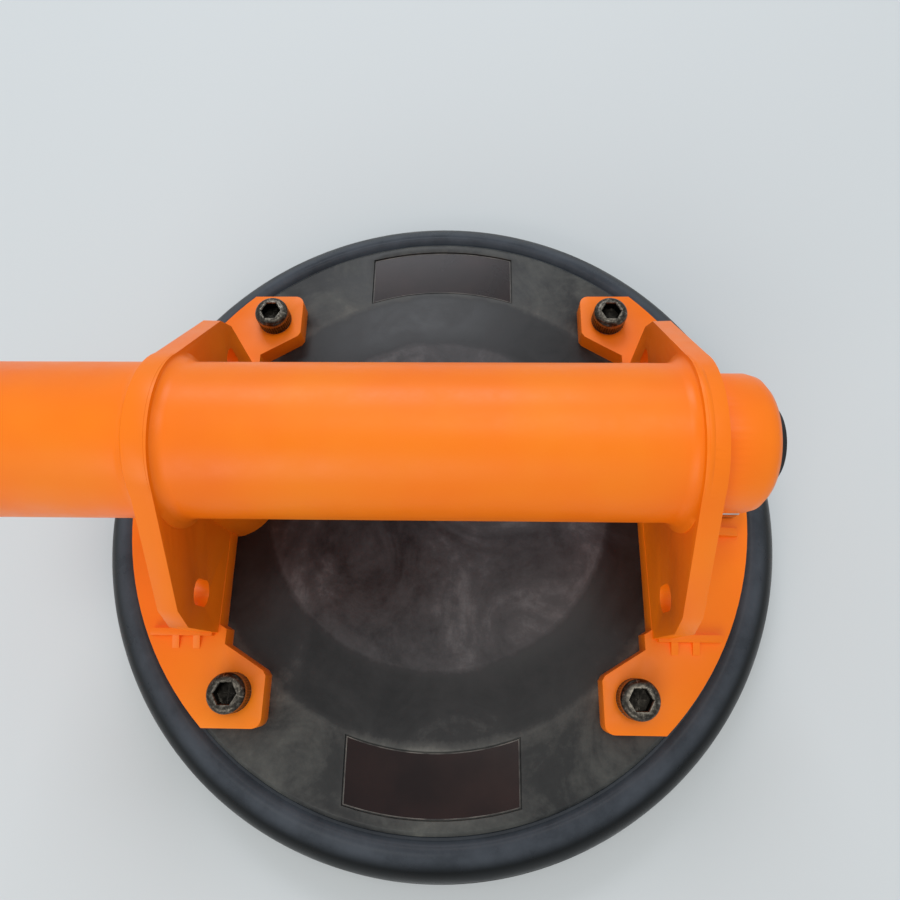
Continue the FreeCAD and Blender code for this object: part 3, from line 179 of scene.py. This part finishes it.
def moulded_rubber(name, dark, pale, smooth, worn, feature_mm=18, painted_highlight="#14171A"):
    """Rubber: low sheen, cloudy between dark and pale, with a painted highlight high up.

    The painted highlight fades in between two heights, which puts it on the pad's shoulder. A
    piece that lies higher takes the painted highlight colour all over.
    """
    material, tree, place = new_material(name)
    rubber_cloud = add(tree, "TexNoise", {"Vector": place, "Scale": per_metre(feature_mm),
                                   "Detail": 6.0, "Roughness": 0.65})
    walls = add(tree, "ValToRGB", {"Fac": rubber_cloud.outputs["Fac"]},
                stops=[(0.38, linear(dark)), (0.72, linear(pale))])
    height = add(tree, "SeparateXYZ", {"Vector": place})
    # painted highlight: the rubber turns lighter between these heights, on the pad's shoulder
    highlight_starts, highlight_full = 17.2 * MM, 20.2 * MM
    lie = add(tree, "MapRange", {"Value": height.outputs["Z"], "From Min": highlight_starts,
                                 "From Max": highlight_full, "To Min": 0.0, "To Max": 1.0},
              interpolation_type="SMOOTHSTEP")
    patchy = add(tree, "MapRange", {"Value": rubber_cloud.outputs["Fac"], "From Min": 0.30,
                                    "From Max": 0.60, "To Min": 0.55, "To Max": 1.0})
    amount = add(tree, "Math", {0: lie.outputs["Result"], 1: patchy.outputs["Result"]},
                 operation="MULTIPLY")
    colour = add(tree, "Mix", {"Factor": amount.outputs["Value"], 6: walls.outputs["Color"],
                               7: linear(painted_highlight)}, data_type="RGBA")
    rough = add(tree, "ValToRGB", {"Fac": rubber_cloud.outputs["Fac"]},
                stops=[(0.35, smooth), (0.70, worn)])
    skin = add(tree, "TexNoise", {"Vector": place, "Scale": per_metre(1.1), "Detail": 3.0})
    bump = add(tree, "Bump", {"Height": skin.outputs["Fac"], "Strength": 0.08,
                              "Distance": 0.05 * MM})
    shader = add(tree, "BsdfPrincipled", {
        "Base Color": colour.outputs[2], "Roughness": rough.outputs["Color"],
        "Normal": bump.outputs["Normal"], "IOR": 1.52, "Specular IOR Level": 0.05})
    add(tree, "OutputMaterial", {"Surface": shader.outputs["BSDF"]})
    return material


def worked_metal(name, base, shade, rough_low, rough_high, feature_mm=4):
    """Metal with the mottled gloss that handling and its finish leave."""
    material, tree, place = new_material(name)
    mottle = add(tree, "TexNoise", {"Vector": place, "Scale": per_metre(feature_mm),
                                    "Detail": 5.0, "Roughness": 0.6})
    colour = add(tree, "ValToRGB", {"Fac": mottle.outputs["Fac"]},
                 stops=[(0.35, linear(shade)), (0.68, linear(base))])
    rough = add(tree, "ValToRGB", {"Fac": mottle.outputs["Fac"]},
                stops=[(0.35, rough_low), (0.70, rough_high)])
    shader = add(tree, "BsdfPrincipled", {
        "Base Color": colour.outputs["Color"], "Roughness": rough.outputs["Color"],
        "Metallic": 1.0})
    add(tree, "OutputMaterial", {"Surface": shader.outputs["BSDF"]})
    return material


def black_oxide_steel():
    """Alloy steel blacked in oil: brown-black and satin, rubbed grey where edges stand up.

    Hollows such as the socket are painted darker: painted shade from an occlusion node.
    """
    material, tree, place = new_material("steel_black_oxide")
    speck = add(tree, "TexNoise", {"Vector": place, "Scale": per_metre(0.8), "Detail": 5.0,
                                   "Roughness": 0.7})
    raised = add(tree, "NewGeometry")
    edge = add(tree, "MapRange", {"Value": raised.outputs["Pointiness"], "From Min": 0.50,
                                  "From Max": 0.56, "To Min": 0.0, "To Max": 0.35})
    worn = add(tree, "Math", {0: speck.outputs["Fac"], 1: edge.outputs["Result"]},
               operation="ADD")
    steel = add(tree, "ValToRGB", {"Fac": worn.outputs["Value"]}, stops=[
        (0.38, linear("#2B2926")), (0.62, linear("#4C4842")), (0.86, linear("#8F897E"))])
    # painted shade: colour darkened where the surface is enclosed, as in the socket
    hollow_shade = add(tree, "AmbientOcclusion", {"Distance": 5.0 * MM}, samples=8)
    shade = add(tree, "ValToRGB", {"Fac": hollow_shade.outputs["AO"]}, stops=[
        (0.30, linear("#1E1E1E")), (0.66, linear("#FFFFFF"))])
    colour = add(tree, "Mix", {"Factor": 1.0, 6: steel.outputs["Color"],
                               7: shade.outputs["Color"]}, data_type="RGBA",
                 blend_type="MULTIPLY")
    rough = add(tree, "ValToRGB", {"Fac": speck.outputs["Fac"]},
                stops=[(0.35, 0.30), (0.70, 0.42)])
    shader = add(tree, "BsdfPrincipled", {
        "Base Color": colour.outputs[2], "Roughness": rough.outputs["Color"],
        "Metallic": 1.0})
    add(tree, "OutputMaterial", {"Surface": shader.outputs["BSDF"]})
    return material


def label_film():
    """Blank laminated label: dark brown-black ink under a clear film with a faint ripple."""
    material, tree, place = new_material("label_gloss_film")
    tone = add(tree, "TexNoise", {"Vector": place, "Scale": per_metre(14), "Detail": 4.0})
    colour = add(tree, "ValToRGB", {"Fac": tone.outputs["Fac"]},
                 stops=[(0.35, linear("#1B1010")), (0.70, linear("#291A18"))])
    ripple = add(tree, "TexNoise", {"Vector": place, "Scale": per_metre(6), "Detail": 2.0})
    bump = add(tree, "Bump", {"Height": ripple.outputs["Fac"], "Strength": 0.08,
                              "Distance": 0.08 * MM})
    shader = add(tree, "BsdfPrincipled", {
        "Base Color": colour.outputs["Color"], "Roughness": 0.24,
        "Normal": bump.outputs["Normal"], "IOR": 1.49, "Specular IOR Level": 0.25})
    add(tree, "OutputMaterial", {"Surface": shader.outputs["BSDF"]})
    return material


def moulded_plastic(name, dark, pale, rough_low=0.32, rough_high=0.46, feature_mm=8):
    """Small injection moulding with a satin skin and slight flow marks."""
    material, tree, place = new_material(name)
    flow = add(tree, "TexNoise", {"Vector": place, "Scale": per_metre(feature_mm),
                                  "Detail": 4.0})
    colour = add(tree, "ValToRGB", {"Fac": flow.outputs["Fac"]},
                 stops=[(0.35, linear(dark)), (0.70, linear(pale))])
    rough = add(tree, "ValToRGB", {"Fac": flow.outputs["Fac"]},
                stops=[(0.35, rough_low), (0.70, rough_high)])
    shader = add(tree, "BsdfPrincipled", {
        "Base Color": colour.outputs["Color"], "Roughness": rough.outputs["Color"],
        "IOR": 1.50})
    add(tree, "OutputMaterial", {"Surface": shader.outputs["BSDF"]})
    return material


orange_abs = moulded_orange_abs()
black_abs = moulded_black_abs()
# 484D54 is the pad's painted highlight, a light grey on its shoulder
pad_rubber = moulded_rubber("pad_rubber_moulded", "#05080A", "#0C1013", 0.24, 0.38,
                            painted_highlight="#484D54")
seal_rubber = moulded_rubber("seal_rubber_soft", "#101011", "#1E1E1F", 0.40, 0.56, 5)
silicone = moulded_rubber("silicone_natural", "#B9B9B3", "#D2D2CC", 0.36, 0.50, 6)
black_oxide = black_oxide_steel()
zinc_steel = worked_metal("steel_zinc_plated", "#B9BBBC", "#9A9C9E", 0.28, 0.40, 12)
nickel = worked_metal("nickel_plated", "#DAD8D2", "#C2C0BA", 0.12, 0.22, 3)
turned_brass = worked_metal("brass_turned", "#C9A24E", "#A8822F", 0.22, 0.34, 3)
spring_wire = worked_metal("spring_steel_wire", "#A8A9AA", "#8C8D8E", 0.25, 0.36, 2)
bronze_sinter = worked_metal("bronze_sintered", "#A98B4C", "#7C6230", 0.55, 0.70, 0.6)
winding = worked_metal("copper_enamelled", "#B86A35", "#8E4A20", 0.28, 0.40, 1)
ferrite = moulded_plastic("ferrite_magnet", "#2A2B2D", "#3A3B3D", 0.55, 0.68, 2)
button_black = moulded_plastic("button_black_satin", "#121315", "#1D1F21", 0.26, 0.36, 6)
smoked = moulded_plastic("window_smoked", "#0C0E10", "#14171A", 0.10, 0.16, 6)
laminate = moulded_plastic("board_solder_mask", "#12472A", "#1A5A36", 0.25, 0.36, 3)
chip_resin = moulded_plastic("chip_resin", "#141414", "#202020", 0.45, 0.58, 2)
chassis_abs = moulded_plastic("chassis_abs_dark", "#26272A", "#303134", 0.45, 0.58, 9)
pump_nylon = moulded_plastic("nylon_natural", "#CFCEC6", "#DDDCD5", 0.42, 0.55, 9)
cell_sleeve = moulded_plastic("cell_shrink_sleeve", "#1F4E86", "#2A5E99", 0.22, 0.32, 12)
label_line = moulded_plastic("label_pale_edge_line", "#282422", "#716C66", 0.50, 0.62, 4)
label_gloss = label_film()

FINISHES = {
    "handle_frame": orange_abs, "valve_cap": orange_abs, "end_cap": orange_abs,
    "cover_plate": black_abs, "suction_pad": pad_rubber, "backing_plate": zinc_steel,
    "weld_nuts": zinc_steel, "label_front": label_gloss, "label_rear": label_gloss,
    "frame_screws": black_oxide, "suction_nipple": turned_brass, "port_filter": bronze_sinter,
    "check_ball": nickel, "vent_pipe": nickel, "pipe_nut": nickel, "inlet_elbow": silicone,
    "cap_seal": seal_rubber, "release_button": button_black, "release_stem": turned_brass,
    "stem_seal": seal_rubber, "release_spring": spring_wire, "power_button": button_black,
    "display_window": smoked, "charge_flap": seal_rubber, "circuit_board": laminate,
    "power_switch": chip_resin, "charge_socket": nickel, "control_chip": chip_resin,
    "pressure_sensor": zinc_steel, "chassis": chassis_abs, "pump_head": pump_nylon,
    "pump_diaphragm": silicone, "pump_yoke": pump_nylon, "pump_crank": turned_brass,
    "motor_can": zinc_steel, "motor_magnets": ferrite, "motor_armature": winding,
    "motor_shaft": spring_wire, "battery_cell": cell_sleeve, "battery_contacts": spring_wire,
}
for node, material in FINISHES.items():
    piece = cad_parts[node]
    piece.data.materials.clear()
    piece.data.materials.append(material)
    for face in piece.data.polygons:
        face.use_smooth = True


def new_piece(name, points, faces, material):
    """A mesh object in the scene, from points in metres and faces that index them."""
    mesh = bpy.data.meshes.new(name)
    mesh.from_pydata(points, [], faces)
    mesh.materials.append(material)
    piece = bpy.data.objects.new(name, mesh)
    bpy.context.scene.collection.objects.link(piece)
    return piece


# ---- edges that the moulds and the machining leave soft ----------------------------------
# node, edge radius in mm, segments
EDGES = [("handle_frame", 0.55, 3), ("valve_cap", 0.3, 2), ("end_cap", 0.25, 2),
         ("cover_plate", 0.3, 2), ("pipe_nut", 0.25, 2),
         ("release_button", 0.3, 2), ("power_button", 0.3, 2), ("charge_flap", 0.2, 2)]
SHARPER_THAN = math.radians(32)
WELD_REACH = 0.0002 * MM
for node, width_mm, segments in EDGES:
    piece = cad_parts[node]
    weld = piece.modifiers.new("weld", "WELD")
    weld.merge_threshold = WELD_REACH
    bevel = piece.modifiers.new("edge_radius", "BEVEL")
    bevel.width = width_mm * MM
    bevel.segments = segments
    bevel.limit_method = "ANGLE"
    bevel.angle_limit = SHARPER_THAN
    bevel.use_clamp_overlap = True
    bevel.harden_normals = True


# ---- rubber pad, turned at full smoothness -----------------------------------------------
def arc_points(start, end, bow, steps):
    """Points on a shallow arc from start to end; bow is its rise over its chord."""
    x, z = end[0] - start[0], end[1] - start[1]
    return [(start[0] + x * t + z * bow * 4 * t * (1 - t),
             start[1] + z * t - x * bow * 4 * t * (1 - t))
            for t in (i / steps for i in range(steps))]


def turned_piece(name, profile_mm, material, centre=(0.0, 0.0), steps=240):
    """A profile of (radius, height) turned about an upright axis, with a disc at each end."""
    count = len(profile_mm)
    points, faces = [], []
    for turn in range(steps):
        c, s = math.cos(2 * math.pi * turn / steps), math.sin(2 * math.pi * turn / steps)
        points += [(centre[0] + r * MM * c, centre[1] + r * MM * s, z * MM)
                   for r, z in profile_mm]
    for turn in range(steps):
        here, there = turn * count, (turn + 1) % steps * count
        for k in range(count - 1):
            faces.append((here + k, there + k, there + k + 1, here + k + 1))
    faces.append(tuple(turn * count for turn in range(steps)))
    faces.append(tuple(turn * count + count - 1 for turn in reversed(range(steps))))
    piece = new_piece(name, points, faces, material)
    mesh = piece.data
    mesh.validate()
    for face in mesh.polygons:
        face.use_smooth = len(face.vertices) == 4
    mesh.set_sharp_from_angle(angle=math.radians(28))
    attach(piece, "lifter")
    return piece


# The pad's sizes in mm: insets run in from its edge, drops run down from its top.
RIM_INSET, SKIRT_INSET, CHAMBER_INSET = 14.3, 1.5, 19.5
SKIRT_HEIGHT, SKIRT_BOW, SHOULDER_BOW = 7.0, 0.13, 0.22
CREST_FROM_RIM, CREST_DROP = 4.0, 0.5
RIM_TOP_FROM_RIM, RIM_TOP_DROP = 0.3, 1.1
END_DISC = 0.5
# one rib of the chamber's roof: distance across from its middle, height from the roof
RIB = [(-0.9, 0.0), (-0.5, -0.5), (0.0, -0.7), (0.5, -0.5), (0.9, 0.0)]
RIB_PITCH, RIB_COUNT = 3.4, 5
# the lip that meets the tile: distance in from the pad's edge, height
LIP = [(8.6, 0.4), (8.0, 0.0), (1.9, 0.0), (1.1, 0.3), (0.25, 0.9), (0.0, 1.6), (0.0, 3.0),
       (0.3, 3.7), (1.3, 4.6)]
# where the rim closes on the cover's edge: distance from the rim, height from the rim's top
SEAL = [(-0.3, -0.15), (-0.78, -0.6), (-0.78, -1.8), (0.0, -2.2)]

pad_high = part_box("suction_pad")[1]
pad_radius = pad_high[1] / MM
crest_z = pad_high[2] / MM
seat_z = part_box("backing_plate")[0][2] / MM
filter_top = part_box("port_filter")[1][2] / MM
rim = pad_radius - RIM_INSET
skirt_foot = (pad_radius - SKIRT_INSET, SKIRT_HEIGHT)
crest = (rim + CREST_FROM_RIM, crest_z - CREST_DROP)
rim_top = (rim + RIM_TOP_FROM_RIM, crest_z - RIM_TOP_DROP)
under = [(END_DISC, filter_top)]
for k in range(RIB_COUNT, 0, -1):
    rib = pad_radius - CHAMBER_INSET - RIB_PITCH * k
    under += [(rib + across, filter_top + rise) for across, rise in RIB]
lip = [(pad_radius - CHAMBER_INSET, filter_top)] + [(pad_radius - inset, z) for inset, z in LIP]
seal = [rim_top] + [(rim + out, rim_top[1] + rise) for out, rise in SEAL]
pad_skin = turned_piece("pad_skin", under + lip
                        + arc_points(skirt_foot, crest, SKIRT_BOW, 16)
                        + arc_points(crest, rim_top, SHOULDER_BOW, 8)
                        + seal + [(rim, seat_z), (END_DISC, seat_z)],
                        pad_rubber)
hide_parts("suction_pad")

# rubber collar round the vent pipe's mouth: radius, height from the chamber's roof
EYELET = [(0.02, 0.3), (1.0, 0.3), (1.1, -0.5), (2.4, -0.5), (2.9, -0.2), (3.1, 0.3)]
vent_across, vent_along = (sum(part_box("pipe_nut")[k][i] for k in (0, 1)) / 2 for i in (0, 1))
turned_piece("vent_eyelet", [(r, filter_top + rise) for r, rise in EYELET],
             seal_rubber, (vent_across, vent_along), steps=48)


# ---- four socket screws with knurled, rounded heads --------------------------------------
def socket_screws(name, flutes=44, steps=264):
    """Turned like the real ones: knurled rim, rounded top edge and a six-sided socket."""
    low, high = (Vector(c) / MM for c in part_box("frame_screws"))
    head, head_height, edge = 5.0, 6.0, 1.6
    shank, thread_end, neck = 3.0, 0.5, 0.35
    flats, socket_depth, drill_point, mouth, mouth_depth = 5.0, 3.0, 0.25, 1.10, 0.28
    knurl_depth = 0.09
    across, along = high.x - head, high.y - head
    under, top = high.z - head_height, high.z
    rounds = [(0.01, low.z), (shank - 0.4, low.z), (shank, low.z + thread_end), (shank, under),
              (head - 0.25, under), (head, under + neck)]
    rounds += [(head, under + 0.4 + 0.5 * k) for k in range(9)]
    rounds += [(head - edge + edge * math.cos(a), top - edge + edge * math.sin(a))
               for a in (math.pi / 2 * k / 8 for k in range(9))]
    knurl = {k for k, (r, z) in enumerate(rounds) if r == head and z > under + neck + 0.01}
    socket = [(mouth, top), (1.0, top - mouth_depth), (1.0, top - socket_depth),
              (0.01, top - socket_depth - drill_point)]
    points, faces = [], []
    count = len(rounds) + len(socket)
    for sx in (-1, 1):
        for sy in (-1, 1):
            first = len(points)
            for turn in range(steps):
                angle = 2 * math.pi * turn / steps
                cut = knurl_depth * abs(math.sin(angle * flutes / 2))
                wedge = (angle % (math.pi / 3)) - math.pi / 6
                six = flats / 2 / math.cos(wedge)
                ring = [(r - cut if k in knurl else r, z) for k, (r, z) in enumerate(rounds)]
                ring += [(six * part, z) for part, z in socket]
                points += [((sx * across + r * math.cos(angle)) * MM,
                            (sy * along + r * math.sin(angle)) * MM, z * MM) for r, z in ring]
            for turn in range(steps):
                here, there = first + turn * count, first + (turn + 1) % steps * count
                faces += [(here + k, there + k, there + k + 1, here + k + 1)
                          for k in range(count - 1)]
            faces.append(tuple(first + turn * count for turn in reversed(range(steps))))
            faces.append(tuple(first + turn * count + count - 1 for turn in range(steps)))
    piece = new_piece(name, points, faces, black_oxide)
    for face in piece.data.polygons:
        face.use_smooth = True
    piece.data.set_sharp_from_angle(angle=math.radians(35))
    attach(piece, "lifter")
    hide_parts("frame_screws")


socket_screws("socket_screws")


# ---- release spring ----------------------------------------------------------------------
def coil_spring(name, node, wire_mm=0.35, pitch_mm=1.3, per_turn=32, sides=10):
    """Round wire wound along the grip."""
    low, high = (Vector(c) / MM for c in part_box(node))
    middle = (low + high) / 2
    mean = (high.y - low.y) / 2 - wire_mm
    start, end = low.x + wire_mm, high.x - wire_mm
    turns = (end - start) / pitch_mm
    count = int(turns * per_turn)
    points, faces = [], []
    for step in range(count + 1):
        angle = 2 * math.pi * turns * step / count
        out = Vector((0, math.cos(angle), math.sin(angle)))
        centre = Vector((start + (end - start) * step / count, middle.y, middle.z)) + out * mean
        for k in range(sides):
            round_wire = 2 * math.pi * k / sides
            point = centre + (out * math.cos(round_wire)
                              + Vector((1, 0, 0)) * math.sin(round_wire)) * wire_mm
            points.append(point * MM)
    for step in range(count):
        a, b = step * sides, (step + 1) * sides
        faces += [(a + k, a + (k + 1) % sides, b + (k + 1) % sides, b + k)
                  for k in range(sides)]
    faces.append(tuple(reversed(range(sides))))
    faces.append(tuple(count * sides + k for k in range(sides)))
    piece = new_piece(name, points, faces, spring_wire)
    for face in piece.data.polygons:
        face.use_smooth = len(face.vertices) == 4
    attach(piece, "lifter")
    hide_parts(node)
    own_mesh(piece)


coil_spring("release_coil", "release_spring")


# ---- thin pale line round the two blank labels -------------------------------------------
def label_border(name, node, side):
    """A thin pale line along a label's edge, bent round the plate as the label is."""
    low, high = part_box(node)
    inset, line, lift, thickness = -0.02 * MM, 0.24 * MM, 0.03 * MM, 0.02 * MM
    steps = 24
    outer = max(abs(low[1]), abs(high[1]))
    half = high[0]
    inner = math.hypot(half, min(abs(low[1]), abs(high[1])))

    def loop(edge):
        """The label's outline, drawn in by edge."""
        corners = []
        for radius, way in ((inner + edge, 1), (outer - edge, -1)):
            spread = math.asin((half - edge) / radius)
            for k in range(steps + 1):
                a = (-spread + 2 * spread * k / steps) * way
                corners.append((radius * math.sin(a), side * radius * math.cos(a)))
        return corners

    points = [(x, y, high[2] + lift) for edge in (inset, inset + line) for x, y in loop(edge)]
    count = len(points) // 2
    faces = [(k, (k + 1) % count, (k + 1) % count + count, k + count) for k in range(count)]
    piece = new_piece(name, points, faces, label_line)
    thick = piece.modifiers.new("ink", "SOLIDIFY")
    thick.thickness = thickness
    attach(piece, "lifter")


label_border("label_border_front", "label_front", -1)
label_border("label_border_rear", "label_rear", 1)


# ---- stand, lights and camera ------------------------------------------------------------
def stage_sheet(name, size, z, material):
    """A flat square sheet to stand the part on."""
    half = size / 2
    obj = new_piece(name, [(-half, -half, z), (half, -half, z), (half, half, z),
                           (-half, half, z)], [(0, 1, 2, 3)], material)


bench_paint, tree, _ = new_material("bench_matt_paint")
shader = add(tree, "BsdfPrincipled", {"Base Color": linear("#D3D8DA"), "Roughness": 0.85})
add(tree, "OutputMaterial", {"Surface": shader.outputs["BSDF"]})
stage_sheet("bench", 6.0, cad_box[0][2] - 0.2 * MM, bench_paint)

world = bpy.data.worlds.new("soft_room")
bpy.context.scene.world = world
world.use_nodes = True
world.node_tree.nodes.clear()
sky = add(world.node_tree, "Background", {"Color": linear("#F1F4F7"), "Strength": 0.58})
add(world.node_tree, "OutputWorld", {"Surface": sky.outputs["Background"]})


AIM = (0, 0, 0.02)


def soft_box(name, at, size, power, colour):
    """A rectangular lamp, turned towards the part."""
    light = bpy.data.lights.new(name, "AREA")
    light.shape = "RECTANGLE"
    light.size, light.size_y = size
    light.energy = power
    light.color = linear(colour)[:3]
    obj = bpy.data.objects.new(name, light)
    obj.location = at
    obj.rotation_euler = (Vector(AIM) - Vector(at)).to_track_quat("-Z", "Y").to_euler()
    bpy.context.scene.collection.objects.link(obj)


soft_box("window_light", (-0.15, 0.95, 0.95), (0.55, 0.38), 5.0, "#F4F8FF")
soft_box("ceiling_light", (0.10, 0.15, 1.30), (0.55, 0.45), 3.0, "#FFFDF8")
soft_box("front_light", (-0.45, -1.00, 0.75), (0.90, 0.60), 5.0, "#FFFBF4")

camera = bpy.data.cameras.new("hand_held")
camera.sensor_width = 36.0
camera.lens = 25.6
camera.clip_start = 0.01
eye = bpy.data.objects.new("hand_held", camera)
bpy.context.scene.collection.objects.link(eye)
standpoint = [mm * MM for mm in (8.38, -47.94, 202.82)]
elevation, turn, roll = (math.radians(a) for a in (70.993, -4.617, -4.008))
ahead = Vector((math.sin(turn) * math.cos(elevation), math.cos(turn) * math.cos(elevation),
                -math.sin(elevation)))
side = Vector((math.cos(turn), -math.sin(turn), 0))
above = side.cross(ahead)
right = side * math.cos(roll) + above * math.sin(roll)
up = -side * math.sin(roll) + above * math.cos(roll)
eye.matrix_world = Matrix((
    (right.x, up.x, -ahead.x, standpoint[0]), (right.y, up.y, -ahead.y, standpoint[1]),
    (right.z, up.z, -ahead.z, standpoint[2]), (0, 0, 0, 1)))
bpy.context.scene.camera = eye
bpy.context.scene.view_settings.view_transform = "Standard"
